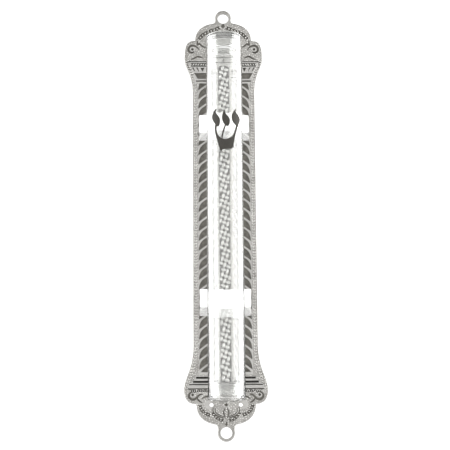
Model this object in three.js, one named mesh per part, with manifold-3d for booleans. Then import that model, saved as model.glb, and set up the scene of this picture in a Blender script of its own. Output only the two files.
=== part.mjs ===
// Mezuzah case: a clear plastic tube for a rolled parchment, taped to an ornate cast metal wall plate.
// Millimetres. +Z is up along the case, the front faces -Y, +X is to the right of someone facing it.
// The origin is the middle of the wall plate's back face.

import * as THREE from 'three';
import { mergeVertices } from 'three/addons/utils/BufferGeometryUtils.js';
import Module from 'manifold-3d';

// Wall plate
const plateHeight = 200;         // over both hanging rings
const plateThickness = 1.8;
const pocketDepth = 0.7;         // how deep the dark recesses are sunk
const edgeRound = 0.25;          // soft edge of the casting
const shaftWidth = 28.6;         // the long straight middle
const shoulderWidth = 36.1;      // widest place of the upper end
const footWidth = 36.9;          // widest place of the lower end
const domeWidth = 26.2;
const upperDomeRise = 8.6;       // from the dome's corner to its crown
const lowerDomeRise = 8.9;
const shoulderHeight = 9.4;      // from the shoulder's widest place to the dome's corner
const footHeight = 6.3;
const shoulderFlare = 16.5;      // over which the shaft widens to the shoulder
const footFlare = 19;
const borderWidth = 2.6;
const ringOuterDiameter = 7.6;
const ringBore = 5.1;
const ringNeckInset = 0.2;       // how much narrower than its ring a neck is
const upperRingSink = 1.2;       // how far a ring reaches into its dome
const lowerRingSink = 0.1;
const nailHoleDiameter = 1.8;
const nailHoleSpacing = 12.8;
const nailHoleDrop = 0.4;        // below the lower dome's corner

// Twisted columns on both sides of the shaft, between two levels just past its ends
const columnWidth = 6.3;
const columnTopRise = 4.9;
const columnBottomDrop = 11.4;
const flutePitch = 4.46;
const fluteRib = 1.05;           // metal left between two flutes, measured along the column
const fluteSlope = 0.74;
const firstFluteDrop = 3.3;      // from the columns' top to the highest flute's lower tip

// Dark bars across the plate, one thick and one thin above the columns and a pair below them
const barInnerEdge = 4.6;        // half of the plain strip that the bars leave in the middle
const upperBarInset = 2.6;       // from the plate's edge to a bar's outer end
const lowerBarInset = 3.9;
const thickBarRise = 7.2;        // of its lower edge above the straight shaft
const thickBarHeight = 2.8;
const thinBarRise = 5.8;
const thinBarHeight = 0.6;
const lowerBarRises = [2.9, 4.7]; // of their lower edges above the foot's widest place
const lowerBarHeight = 0.9;

// Clear tube and its two ends
const tubeOuterDiameter = 16.3;
const tubeWall = 1.65;
const tubeLength = 164;
const flangeThickness = 1;
const flangeReduction = 0.3;     // a flange is this much smaller than the tube
const capDiscThickness = 3.2;    // with the flange
const capSkirtDepth = 8;
const capSkirtWall = 0.9;
const stopperDepth = 6;          // how far the stopper reaches into the tube
const stopperBandHeight = 1.1;
const stopperGroove = 0.35;      // how deep the grooves between its bands are
const stopperNose = 1.5;         // height of its narrower end
const stopperNoseStep = 0.35;
const stopperCupWall = 1;        // it is hollow from below
const stopperCupRoof = 1.2;
const boreClearance = 0.15;     // radial, between the tube and what is pushed into it

// Feet and foam tape
const tapeThickness = 1;
const footPlateThickness = 1.2;
const footPlateWidth = 22.5;
const footPlateHeight = 12;
const tapeHeight = 7.8;
const upperFootCentre = 42;
const lowerFootCentre = -39;
const saddleWidth = 9;
const saddleDepth = 0.9;         // how far the saddle reaches round the tube
const glueGap = 0.3;

// Emblem on the tube
const emblemHeight = 19.85;
const emblemWidth = 14.2;        // along the tube's surface
const emblemThickness = 0.4;
const emblemGlue = 0.15;
const emblemBottom = 26.05;
const emblemTurn = 5.1;          // degrees round the tube, towards +X

const roundSteps = 64;           // sides of every round shape on the tube
const plateHalf = plateHeight / 2;
const ringRadius = ringOuterDiameter / 2;
const ringCentre = plateHalf - ringRadius;
const upperCrown = plateHalf - ringOuterDiameter + upperRingSink;
const upperCorner = upperCrown - upperDomeRise;
const shoulderLevel = upperCorner - shoulderHeight;
const shaftTop = shoulderLevel - shoulderFlare;
const lowerCrown = ringOuterDiameter - plateHalf - lowerRingSink;
const lowerCorner = lowerCrown + lowerDomeRise;
const footLevel = lowerCorner + footHeight;
const shaftBottom = footLevel + footFlare;
const fluteRise = columnWidth * fluteSlope + flutePitch - fluteRib;
const tubeRadius = tubeOuterDiameter / 2;
const boreRadius = tubeRadius - tubeWall;
const tubeBack = plateThickness + tapeThickness + footPlateThickness;
const tubeCentre = tubeBack + tubeRadius;

const wasm = await Module();
wasm.setup();

// A closed three.js geometry as a solid that can be joined and cut.
function solid(geometry) {
  const bare = geometry.index ? geometry.toNonIndexed() : geometry.clone();
  bare.deleteAttribute('normal');
  bare.deleteAttribute('uv');
  const merged = mergeVertices(bare, 1e-4);
  return new wasm.Manifold(new wasm.Mesh({
    numProp: 3,
    vertProperties: merged.attributes.position.array,
    triVerts: new Uint32Array(merged.index.array),
  }));
}

function geometryOf(body) {
  const mesh = body.getMesh();
  const geometry = new THREE.BufferGeometry();
  geometry.setAttribute('position', new THREE.BufferAttribute(mesh.vertProperties, 3));
  geometry.setIndex(new THREE.BufferAttribute(mesh.triVerts, 1));
  return geometry;
}

// Shapes are drawn as seen from the front, x to the right and y up the case. This stands one up
// between two depths, measured forwards from the plate's back face.
function standUp(shape, backDepth, frontDepth, round = 0, curveSegments = 10) {
  const geometry = new THREE.ExtrudeGeometry(shape, {
    depth: frontDepth - backDepth - 2 * round,
    bevelEnabled: round > 0,
    bevelThickness: round,
    bevelSize: round,
    bevelOffset: -round,
    bevelSegments: 2,
    curveSegments,
  });
  geometry.translate(0, 0, backDepth + round);
  geometry.rotateX(Math.PI / 2);
  return geometry;
}

// A round body about the tube's axis, from a closed profile of [radius, height] points.
function turned(profile) {
  const points = profile.map(([radius, height]) => new THREE.Vector2(radius, height));
  const geometry = new THREE.LatheGeometry(points, roundSteps);
  geometry.rotateX(Math.PI / 2);
  return geometry;
}

function part(name, geometry, { color, roughness, metalness = 0, opacity = 1 }) {
  const material = new THREE.MeshStandardMaterial({
    color, roughness, metalness, opacity, transparent: opacity < 1,
  });
  const mesh = new THREE.Mesh(geometry, material);
  mesh.name = name;
  return mesh;
}

const silver = { color: 0xbcbab4, roughness: 0.42, metalness: 0.9 };
const clear = { color: 0xf4f6f6, roughness: 0.06, opacity: 0.3 };
const softClear = { color: 0xeef0f0, roughness: 0.2, opacity: 0.4 };
const foam = { color: 0xf6f6f4, roughness: 0.9 };
const charcoal = { color: 0x4b4945, roughness: 0.55 };

// Half of the plate's outline, up the right side from the lower ring to the upper one.
function rightSide() {
  const neck = ringRadius - ringNeckInset;
  const neckLevel = ringCentre - Math.sqrt(ringRadius ** 2 - neck ** 2);
  const side = new THREE.Path();
  side.moveTo(neck, -neckLevel);
  side.quadraticCurveTo(neck + 0.2, lowerCrown - 0.5, domeWidth * 0.18, lowerCrown);
  side.bezierCurveTo(
    domeWidth * 0.39, lowerCorner - lowerDomeRise * 0.9,
    domeWidth * 0.5, lowerCorner - lowerDomeRise * 0.53,
    domeWidth / 2, lowerCorner,
  );
  side.bezierCurveTo(
    footWidth / 2 - 1.8, lowerCorner,
    footWidth / 2, footLevel - footHeight * 0.65,
    footWidth / 2, footLevel,
  );
  side.bezierCurveTo(
    footWidth / 2, footLevel + footFlare * 0.25,
    shaftWidth / 2 + 0.2, footLevel + footFlare * 0.45,
    shaftWidth / 2, shaftBottom,
  );
  side.lineTo(shaftWidth / 2, shaftTop);
  side.bezierCurveTo(
    shaftWidth / 2, shaftTop + shoulderFlare * 0.6,
    shoulderWidth / 2 - 0.35, shoulderLevel - shoulderFlare * 0.25,
    shoulderWidth / 2, shoulderLevel,
  );
  side.bezierCurveTo(
    shoulderWidth / 2, shoulderLevel + shoulderHeight * 0.72,
    shoulderWidth / 2 - 0.75, upperCorner,
    domeWidth / 2, upperCorner,
  );
  side.bezierCurveTo(
    domeWidth * 0.5, upperCorner + upperDomeRise * 0.53,
    domeWidth * 0.39, upperCorner + upperDomeRise * 0.9,
    domeWidth * 0.18, upperCrown,
  );
  side.quadraticCurveTo(neck + 0.2, upperCrown + 0.5, neck, neckLevel);
  return side.getPoints(9);
}

function plateOutline() {
  const right = rightSide();
  const start = right[0];
  const end = right[right.length - 1];
  const outline = new THREE.Shape(right);
  const topStart = Math.atan2(end.y - ringCentre, end.x);
  outline.absarc(0, ringCentre, ringRadius, topStart, Math.PI - topStart, false);
  for (const point of [...right].reverse()) outline.lineTo(-point.x, point.y);
  const bottomStart = Math.atan2(start.y + ringCentre, -start.x);
  outline.absarc(0, -ringCentre, ringRadius, bottomStart, 3 * Math.PI - bottomStart, false);
  return outline;
}

function disc(x, y, radius) {
  const hole = new THREE.Path();
  hole.absarc(x, y, radius, 0, 2 * Math.PI, true);
  return hole;
}

// Half of the plate's width at a height, read from its outline.
function halfWidthAt(level) {
  const side = rightSide();
  for (let i = 1; i < side.length; i++) {
    const below = side[i - 1];
    const above = side[i];
    if (below.y <= level && above.y >= level && above.y > below.y) {
      return below.x + (above.x - below.x) * (level - below.y) / (above.y - below.y);
    }
  }
  return shaftWidth / 2;
}

// One flute of a twisted column: a leaf between two points, steep at the column's sides and
// straight across its middle. side is 1 for the right column and -1 for the left.
function flute(side, level) {
  const outer = shaftWidth / 2 - borderWidth;
  const across = (share) => side * (outer - columnWidth * share);
  const leaf = new THREE.Shape();
  leaf.moveTo(across(0), level);
  leaf.bezierCurveTo(
    across(0), level + fluteRise * 0.3,
    across(0.12), level + fluteRise * 0.5,
    across(0.34), level + fluteRise * 0.62,
  );
  leaf.lineTo(across(1), level + fluteRise);
  leaf.bezierCurveTo(
    across(1), level + fluteRise * 0.7,
    across(0.88), level + fluteRise * 0.5,
    across(0.66), level + fluteRise * 0.38,
  );
  leaf.closePath();
  return leaf;
}

// A bar whose outer end follows the plate's edge at a distance.
function bar(side, bottom, height, inset) {
  const outerEnd = (level) => side * (halfWidthAt(level) - inset);
  return new THREE.Shape([
    new THREE.Vector2(side * barInnerEdge, bottom),
    new THREE.Vector2(outerEnd(bottom), bottom),
    new THREE.Vector2(outerEnd(bottom + height), bottom + height),
    new THREE.Vector2(side * barInnerEdge, bottom + height),
  ]);
}

// What is sunk into the plate's face on one side: the column's flutes and the dark bars.
function recesses(side) {
  const floor = plateThickness - pocketDepth;
  const above = plateThickness + 1;
  const columnTop = shaftTop + columnTopRise;
  const columnBottom = shaftBottom - columnBottomDrop;
  const zone = new THREE.BoxGeometry(shaftWidth, plateThickness * 4, columnTop - columnBottom);
  zone.translate(0, 0, (columnTop + columnBottom) / 2);
  const column = solid(zone);
  const cutters = [];
  for (let tip = columnTop - firstFluteDrop; tip + fluteRise > columnBottom; tip -= flutePitch) {
    cutters.push(solid(standUp(flute(side, tip), floor, above, 0, 5)).intersect(column));
  }
  const bars = [
    bar(side, shaftTop + thickBarRise, thickBarHeight, upperBarInset),
    bar(side, shaftTop + thinBarRise, thinBarHeight, upperBarInset),
    ...lowerBarRises.map((rise) => bar(side, footLevel + rise, lowerBarHeight, lowerBarInset)),
  ];
  return [...cutters, ...bars.map((shape) => solid(standUp(shape, floor, above)))];
}

// Cast in one: the plate, its two hanging rings, the sunk ornament and the two nail holes.
function backPlate() {
  const outline = plateOutline();
  outline.holes.push(disc(0, ringCentre, ringBore / 2), disc(0, -ringCentre, ringBore / 2));
  for (const side of [-1, 1]) {
    outline.holes.push(disc(side * nailHoleSpacing / 2, lowerCorner - nailHoleDrop, nailHoleDiameter / 2));
  }
  let body = solid(standUp(outline, 0, plateThickness, edgeRound));
  for (const cutter of [...recesses(-1), ...recesses(1)]) body = body.subtract(cutter);
  return part('back_plate', geometryOf(body), silver);
}

// The tube, open at both ends.
function tube() {
  const end = tubeLength / 2;
  return part('tube', turned([
    [boreRadius, -end], [tubeRadius, -end], [tubeRadius, end], [boreRadius, end], [boreRadius, -end],
  ]), clear);
}

// The fixed upper end: a thick disc with a skirt, glued into the tube.
function topCap() {
  const end = tubeLength / 2;
  const fitRadius = boreRadius - boreClearance;
  const skirtBore = fitRadius - capSkirtWall;
  const flangeRadius = tubeRadius - flangeReduction / 2;
  const flangeTop = end + flangeThickness;
  return part('top_cap', turned([
    [0, flangeTop - capDiscThickness],
    [skirtBore, flangeTop - capDiscThickness],
    [skirtBore, flangeTop - capSkirtDepth],
    [fitRadius, flangeTop - capSkirtDepth],
    [fitRadius, end],
    [flangeRadius, end],
    [flangeRadius, flangeTop],
    [0, flangeTop],
  ]), clear);
}

// The stopper that closes the lower end: a cup, hollow from below, with bands that grip the bore
// and a narrower nose.
function bottomStopper() {
  const end = -tubeLength / 2;
  const fitRadius = boreRadius - boreClearance;
  const grooveRadius = fitRadius - stopperGroove;
  const noseRadius = fitRadius - stopperNoseStep;
  const cupRadius = fitRadius - stopperCupWall;
  const cupTop = end + stopperDepth - stopperCupRoof;
  const bandsTop = end + stopperDepth - stopperNose;
  const profile = [
    [0, cupTop],
    [cupRadius, cupTop],
    [cupRadius, end - flangeThickness],
    [tubeRadius - flangeReduction / 2, end - flangeThickness],
    [tubeRadius - flangeReduction / 2, end],
  ];
  const steps = Math.max(1, Math.floor((bandsTop - end) / (2 * stopperBandHeight)));
  const step = (bandsTop - end) / (2 * steps);
  for (let i = 0; i < steps; i++) {
    const level = end + 2 * i * step;
    profile.push([grooveRadius, level], [grooveRadius, level + step]);
    profile.push([fitRadius, level + step], [fitRadius, level + 2 * step]);
  }
  profile.push([noseRadius, bandsTop], [noseRadius, end + stopperDepth], [0, end + stopperDepth]);
  return part('bottom_stopper', turned(profile), softClear);
}

// A foot: a flat plate with a saddle that hugs the back of the tube.
function foot(name, centre) {
  const back = plateThickness + tapeThickness;
  const front = tubeBack;
  const half = footPlateHeight / 2;
  const rectangle = (width) => new THREE.Shape([
    new THREE.Vector2(-width / 2, centre - half),
    new THREE.Vector2(width / 2, centre - half),
    new THREE.Vector2(width / 2, centre + half),
    new THREE.Vector2(-width / 2, centre + half),
  ]);
  const plate = solid(standUp(rectangle(footPlateWidth), back, front - glueGap));
  const saddle = solid(standUp(rectangle(saddleWidth), back, front + saddleDepth));
  const seatProfile = [
    [0, centre - half - 1],
    [tubeRadius + glueGap, centre - half - 1],
    [tubeRadius + glueGap, centre + half + 1],
    [0, centre + half + 1],
  ];
  const seat = turned(seatProfile);
  seat.translate(0, -tubeCentre, 0);
  return part(name, geometryOf(plate.add(saddle).subtract(solid(seat))), clear);
}

// A pad of double-sided foam tape, flush with the top of its foot.
function tapePad(name, centre) {
  const top = centre + footPlateHeight / 2;
  const pad = new THREE.BoxGeometry(footPlateWidth, tapeThickness, tapeHeight);
  const mesh = part(name, pad, foam);
  mesh.position.set(0, -plateThickness - tapeThickness / 2, top - tapeHeight / 2);
  return mesh;
}

// The letter Shin with three flames, laid flat: x along the tube's surface and y up.
// Drawn in a box one unit wide and one unit high.
function shinShape() {
  const shin = new THREE.Shape();
  // from the base's left corner up the outside of the left stem
  shin.moveTo(0.285, 0);
  // left edge
  shin.bezierCurveTo(0.22, 0.18, 0.1, 0.4, 0.101, 0.52);
  shin.quadraticCurveTo(0.103, 0.585, 0.122, 0.626);
  // left flame
  shin.bezierCurveTo(0.05, 0.68, 0, 0.75, 0, 0.817);
  shin.bezierCurveTo(0, 0.905, 0.11, 0.93, 0.147, 0.993);
  shin.bezierCurveTo(0.165, 0.955, 0.13, 0.935, 0.15, 0.9);
  shin.bezierCurveTo(0.18, 0.84, 0.287, 0.8, 0.287, 0.704);
  shin.bezierCurveTo(0.287, 0.62, 0.235, 0.535, 0.177, 0.58);
  // inner edge
  shin.bezierCurveTo(0.145, 0.5, 0.165, 0.38, 0.322, 0.288);
  shin.bezierCurveTo(0.34, 0.4, 0.38, 0.5, 0.44, 0.6);
  // middle flame
  shin.bezierCurveTo(0.38, 0.655, 0.348, 0.71, 0.348, 0.775);
  shin.bezierCurveTo(0.35, 0.86, 0.4, 0.9, 0.42, 0.976);
  shin.bezierCurveTo(0.445, 0.95, 0.435, 0.92, 0.452, 0.885);
  shin.bezierCurveTo(0.48, 0.835, 0.606, 0.8, 0.606, 0.704);
  shin.bezierCurveTo(0.606, 0.63, 0.57, 0.53, 0.48, 0.586);
  // stem
  shin.bezierCurveTo(0.43, 0.48, 0.37, 0.36, 0.369, 0.272);
  // hollow
  shin.bezierCurveTo(0.48, 0.25, 0.62, 0.29, 0.69, 0.36);
  shin.bezierCurveTo(0.75, 0.43, 0.8, 0.52, 0.828, 0.607);
  // right flame
  shin.bezierCurveTo(0.75, 0.65, 0.668, 0.7, 0.668, 0.79);
  shin.bezierCurveTo(0.668, 0.9, 0.75, 0.91, 0.811, 1);
  shin.bezierCurveTo(0.815, 0.96, 0.795, 0.94, 0.83, 0.91);
  shin.bezierCurveTo(0.88, 0.87, 1, 0.85, 1, 0.755);
  shin.bezierCurveTo(0.99, 0.69, 0.9, 0.61, 0.842, 0.485);
  // right edge
  shin.bezierCurveTo(0.79, 0.37, 0.745, 0.25, 0.725, 0.13);
  shin.quadraticCurveTo(0.71, 0.05, 0.64, 0.045);
  // base
  shin.bezierCurveTo(0.5, 0.045, 0.38, 0.04, 0.285, 0);
  return shin;
}

// The letter lies on the tube's surface: drawn as it looks from the front, stood up through the
// front half of a thin sleeve round the tube, and kept where the two meet.
function emblem() {
  const inner = tubeRadius + emblemGlue;
  const outer = inner + emblemThickness;
  const turn = THREE.MathUtils.degToRad(emblemTurn);
  const seen = shinShape().getPoints(6).map((point) => new THREE.Vector2(
    outer * Math.sin((point.x - 0.5) * emblemWidth / outer + turn),
    emblemBottom + point.y * emblemHeight,
  ));
  const letter = standUp(new THREE.Shape(seen), tubeCentre, tubeCentre + outer + 1);
  const low = emblemBottom - 1;
  const high = emblemBottom + emblemHeight + 1;
  const sleeve = turned([[inner, low], [outer, low], [outer, high], [inner, high], [inner, low]]);
  sleeve.translate(0, -tubeCentre, 0);
  return part('shin_emblem', geometryOf(solid(letter).intersect(solid(sleeve))), charcoal);
}

const tubeGroup = new THREE.Group();
tubeGroup.position.y = -tubeCentre;
tubeGroup.add(tube(), topCap(), bottomStopper());

const mezuzahCase = new THREE.Group();
mezuzahCase.add(
  backPlate(),
  tapePad('upper_tape_pad', upperFootCentre),
  tapePad('lower_tape_pad', lowerFootCentre),
  foot('upper_foot', upperFootCentre),
  foot('lower_foot', lowerFootCentre),
  tubeGroup,
  emblem(),
);

export default mezuzahCase;
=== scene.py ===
import math

import bmesh
import bpy
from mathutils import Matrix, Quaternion, Vector
from mathutils.geometry import delaunay_2d_cdt


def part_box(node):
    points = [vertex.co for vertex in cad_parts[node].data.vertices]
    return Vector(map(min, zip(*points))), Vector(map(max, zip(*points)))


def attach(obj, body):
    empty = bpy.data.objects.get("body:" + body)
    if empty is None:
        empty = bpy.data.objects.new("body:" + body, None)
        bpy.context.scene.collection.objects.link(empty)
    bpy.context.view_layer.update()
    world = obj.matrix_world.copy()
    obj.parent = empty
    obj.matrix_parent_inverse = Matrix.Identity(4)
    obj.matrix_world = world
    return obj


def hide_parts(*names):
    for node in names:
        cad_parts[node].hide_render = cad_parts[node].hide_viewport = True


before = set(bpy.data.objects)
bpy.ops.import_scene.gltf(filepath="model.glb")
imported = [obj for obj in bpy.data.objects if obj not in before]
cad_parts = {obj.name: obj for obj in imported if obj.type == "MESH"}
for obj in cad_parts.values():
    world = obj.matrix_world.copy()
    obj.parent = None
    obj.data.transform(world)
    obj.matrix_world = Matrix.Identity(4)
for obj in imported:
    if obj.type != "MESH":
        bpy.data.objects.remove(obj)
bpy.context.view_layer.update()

# ------------------------------------------------------------------------------------------------
# The casting. The wall plate is die-cast zinc, plated and antiqued: one slab with a hanging ring at
# each end and two nail holes in its lower dome. Its face carries three levels: dark patina at the
# bottom of the recesses, a matt field behind the border's foliage, and the bright raised work.
# Drawn as seen from the front, in millimetres: x to the right, z up, and height off the back face.

MM = 0.001
plate_low, plate_high = (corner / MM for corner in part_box("back_plate"))
PLATE_THICKNESS = -plate_low.y
FLOOR_HEIGHT = PLATE_THICKNESS - 0.7      # the patina at the bottom of the recesses
FIELD_HEIGHT = PLATE_THICKNESS - 0.32     # the matt field of the border
RING_RADIUS = 3.8
RING_BORE = 2.55
RING_CENTRE = plate_high.z - RING_RADIUS
RING_NECK = RING_RADIUS - 0.2
UPPER_CROWN = plate_high.z - 6.4
UPPER_CORNER = UPPER_CROWN - 8.6
SHOULDER_LEVEL = UPPER_CORNER - 9.4
SHOULDER = 18.05
SHAFT_TOP = SHOULDER_LEVEL - 16.5
SHAFT = 14.3
LOWER_CROWN = plate_low.z + 7.5
LOWER_CORNER = LOWER_CROWN + 8.9
FOOT_LEVEL = LOWER_CORNER + 6.3
FOOT = plate_high.x
SHAFT_BOTTOM = FOOT_LEVEL + 19
DOME = 13.1
NAIL_HOLE = (6.4, LOWER_CORNER - 0.4, 0.9)  # centre and radius


def bezier(start, first, second, end, steps=10):
    """Points along a cubic curve, without its last one."""
    points = []
    for i in range(steps):
        t = i / steps
        weights = ((1 - t) ** 3, 3 * t * (1 - t) ** 2, 3 * t * t * (1 - t), t ** 3)
        ends = (start, first, second, end)
        points.append(tuple(sum(w * p[k] for w, p in zip(weights, ends)) for k in (0, 1)))
    return points


def arc(x, z, radius, start, end, steps):
    """Points round an arc, from one angle in radians to another, both ends included."""
    angles = [start + (end - start) * i / steps for i in range(steps + 1)]
    return [(x + radius * math.cos(a), z + radius * math.sin(a)) for a in angles]


def circle(x, z, radius, steps=24):
    return arc(x, z, radius, 0, 2 * math.pi, steps)[:-1]


def plate_side():
    """The plate's outline up its right side, from the neck of one ring to the neck of the other."""
    neck_level = RING_CENTRE - math.sqrt(RING_RADIUS ** 2 - RING_NECK ** 2)
    dome_end = DOME * 0.36
    side = bezier((RING_NECK, -neck_level), (RING_NECK + 0.1, LOWER_CROWN - 1),
                  (RING_NECK + 0.4, LOWER_CROWN), (dome_end, LOWER_CROWN), 5)
    side += bezier((dome_end, LOWER_CROWN), (DOME * 0.78, LOWER_CORNER - 8),
                   (DOME, LOWER_CORNER - 4.7), (DOME, LOWER_CORNER), 16)
    side += bezier((DOME, LOWER_CORNER), (FOOT - 1.8, LOWER_CORNER),
                   (FOOT, FOOT_LEVEL - 4.1), (FOOT, FOOT_LEVEL), 14)
    side += bezier((FOOT, FOOT_LEVEL), (FOOT, FOOT_LEVEL + 4.8),
                   (SHAFT + 0.2, FOOT_LEVEL + 8.6), (SHAFT, SHAFT_BOTTOM), 16)
    side += bezier((SHAFT, SHAFT_BOTTOM), (SHAFT, SHAFT_BOTTOM + 30),
                   (SHAFT, SHAFT_TOP - 30), (SHAFT, SHAFT_TOP), 40)
    side += bezier((SHAFT, SHAFT_TOP), (SHAFT, SHAFT_TOP + 9.9),
                   (SHOULDER - 0.35, SHOULDER_LEVEL - 4.1), (SHOULDER, SHOULDER_LEVEL), 16)
    side += bezier((SHOULDER, SHOULDER_LEVEL), (SHOULDER, SHOULDER_LEVEL + 6.8),
                   (SHOULDER - 0.75, UPPER_CORNER), (DOME, UPPER_CORNER), 16)
    side += bezier((DOME, UPPER_CORNER), (DOME, UPPER_CORNER + 4.6),
                   (DOME * 0.78, UPPER_CORNER + 7.7), (dome_end, UPPER_CROWN), 16)
    side += bezier((dome_end, UPPER_CROWN), (RING_NECK + 0.4, UPPER_CROWN),
                   (RING_NECK + 0.1, UPPER_CROWN + 1), (RING_NECK, neck_level), 5)
    return side + [(RING_NECK, neck_level)]


def mirrored(points):
    return [(-x, z) for x, z in reversed(points)]


def plate_outline():
    side = plate_side()
    neck = math.acos(RING_NECK / RING_RADIUS)
    top = arc(0, RING_CENTRE, RING_RADIUS, -neck, math.pi + neck, 32)[1:-1]
    bottom = [(-x, -z) for x, z in top]
    return side + top + mirrored(side) + bottom


def cells(shapes):
    """Cut the plane along every outline of shapes, a list of (name, points). Returns the corners,
    and each triangle with the set of names it lies in."""
    corners, faces = [], []
    for name, points in shapes:
        area = sum(a[0] * b[1] - b[0] * a[1] for a, b in zip(points, points[1:] + points[:1]))
        ordered = points if area > 0 else points[::-1]
        faces.append(list(range(len(corners), len(corners) + len(ordered))))
        corners += [Vector(p) for p in ordered]
    cut = delaunay_2d_cdt(corners, [], faces, 0, 1e-5, True)
    return cut[0], [(face, {shapes[i][0] for i in owners}) for face, owners in zip(cut[2], cut[5])]


def relief(name, plan, keep, back, front, soften, materials, steps=2):
    """A closed solid over the triangles whose names keep accepts, between two heights, with its
    front edges rounded off. The first material is the front's, the second the sides' and back's."""
    corners, triangles = plan
    kept = [face for face, names in triangles if keep(names)]
    mesh = bmesh.new()
    lower, upper = {}, {}
    for face in kept:
        for i in face:
            if i not in lower:
                x, z = corners[i]
                lower[i] = mesh.verts.new((x, -back, z))
                upper[i] = mesh.verts.new((x, -front, z))
    edges = {}
    for face in kept:
        mesh.faces.new([upper[i] for i in face])
        mesh.faces.new([lower[i] for i in reversed(face)])
        for a, b in zip(face, face[1:] + face[:1]):
            edges[(a, b)] = True
    for a, b in edges:
        if (b, a) not in edges:
            mesh.faces.new([upper[a], lower[a], lower[b], upper[b]])
    mesh.normal_update()
    for step in range(steps):
        tops = [f for f in mesh.faces if f.normal.y < -0.99]
        near, far = (math.pi / 2 * (step + k) / steps for k in (0, 1))
        width = soften * (math.cos(near) - math.cos(far))
        inset = bmesh.ops.inset_region(mesh, faces=tops, thickness=width)
        kept = {v for f in tops for v in f.verts}
        for v in {v for f in inset["faces"] for v in f.verts} - kept:
            v.co.y = -front + soften * (1 - math.sin(near))
        mesh.normal_update()
        for f in inset["faces"]:
            f.smooth = True
    for f in mesh.faces:
        f.material_index = 0 if f.normal.y < -0.5 else 1
    data = bpy.data.meshes.new(name)
    mesh.to_mesh(data)
    mesh.free()
    data.transform(((MM, 0, 0, 0), (0, MM, 0, 0), (0, 0, MM, 0), (0, 0, 0, 1)))
    for material in materials:
        data.materials.append(material)
    piece = bpy.data.objects.new(name, data)
    bpy.context.scene.collection.objects.link(piece)
    return piece


def material_tree(name):
    """A new material, its node maker, its link maker and its main shader."""
    material = bpy.data.materials.new(name)
    material.use_nodes = True
    nodes, links = material.node_tree.nodes, material.node_tree.links
    return material, nodes, links, nodes["Principled BSDF"]


def antique_silver_with_depth_shade(name, light, dark, roughness):
    """Plated zinc: bright where the work stands proud, greyer towards the bottom of the recesses (partly
    the antiquing's patina, partly painted shade), with cloudy tarnishing and the faint pitting of a
    casting."""
    material, nodes, links, shader = material_tree(name)
    place = nodes.new("ShaderNodeTexCoord")
    depth = nodes.new("ShaderNodeSeparateXYZ")
    links.new(place.outputs["Object"], depth.inputs[0])
    # painted shade with patina: the metal turns greyer the deeper it lies below the front face, towards
    # the recess floors
    level = nodes.new("ShaderNodeMapRange")
    level.inputs["From Min"].default_value = -FLOOR_HEIGHT * MM
    level.inputs["From Max"].default_value = -PLATE_THICKNESS * MM
    links.new(depth.outputs["Y"], level.inputs["Value"])
    cloud = nodes.new("ShaderNodeTexNoise")
    cloud.inputs["Scale"].default_value = 260
    cloud.inputs["Detail"].default_value = 6
    links.new(place.outputs["Object"], cloud.inputs["Vector"])
    tarnish_and_depth_shade = nodes.new("ShaderNodeMath")
    tarnish_and_depth_shade.operation = "MULTIPLY_ADD"
    tarnish_and_depth_shade.inputs[1].default_value = 0.5
    links.new(cloud.outputs["Fac"], tarnish_and_depth_shade.inputs[0])
    links.new(level.outputs["Result"], tarnish_and_depth_shade.inputs[2])
    ramp = nodes.new("ShaderNodeValToRGB")
    ramp.color_ramp.elements[0].position = 0.46
    ramp.color_ramp.elements[0].color = (*dark, 1)
    ramp.color_ramp.elements[1].position = 1.3 / 1.5
    ramp.color_ramp.elements[1].color = (*light, 1)
    scaled = nodes.new("ShaderNodeMath")
    scaled.operation = "MULTIPLY"
    scaled.inputs[1].default_value = 1 / 1.5
    links.new(tarnish_and_depth_shade.outputs[0], scaled.inputs[0])
    links.new(scaled.outputs[0], ramp.inputs["Fac"])
    links.new(ramp.outputs["Color"], shader.inputs["Base Color"])
    worn = nodes.new("ShaderNodeMapRange")
    worn.inputs["To Min"].default_value = roughness - 0.08
    worn.inputs["To Max"].default_value = roughness + 0.12
    links.new(cloud.outputs["Fac"], worn.inputs["Value"])
    links.new(worn.outputs["Result"], shader.inputs["Roughness"])
    pits = nodes.new("ShaderNodeTexNoise")
    pits.inputs["Scale"].default_value = 2600
    pits.inputs["Detail"].default_value = 3
    links.new(place.outputs["Object"], pits.inputs["Vector"])
    bump = nodes.new("ShaderNodeBump")
    bump.inputs["Strength"].default_value = 0.25
    bump.inputs["Distance"].default_value = 0.0001
    links.new(pits.outputs["Fac"], bump.inputs["Height"])
    links.new(bump.outputs["Normal"], shader.inputs["Normal"])
    shader.inputs["Metallic"].default_value = 0.9
    return material


bright_silver = antique_silver_with_depth_shade("antique_silver_with_depth_shade", (0.4, 0.392, 0.377), (0.17, 0.164, 0.152), 0.42)
frosted_silver = antique_silver_with_depth_shade("frosted_silver", (0.62, 0.61, 0.59), (0.25, 0.243, 0.228), 0.46)
polished_silver = antique_silver_with_depth_shade("polished_silver", (0.58, 0.575, 0.56), (0.3, 0.295, 0.28), 0.4)
back_silver = antique_silver_with_depth_shade("plain_silver_back", (0.3, 0.293, 0.28), (0.2, 0.195, 0.185), 0.5)

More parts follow.
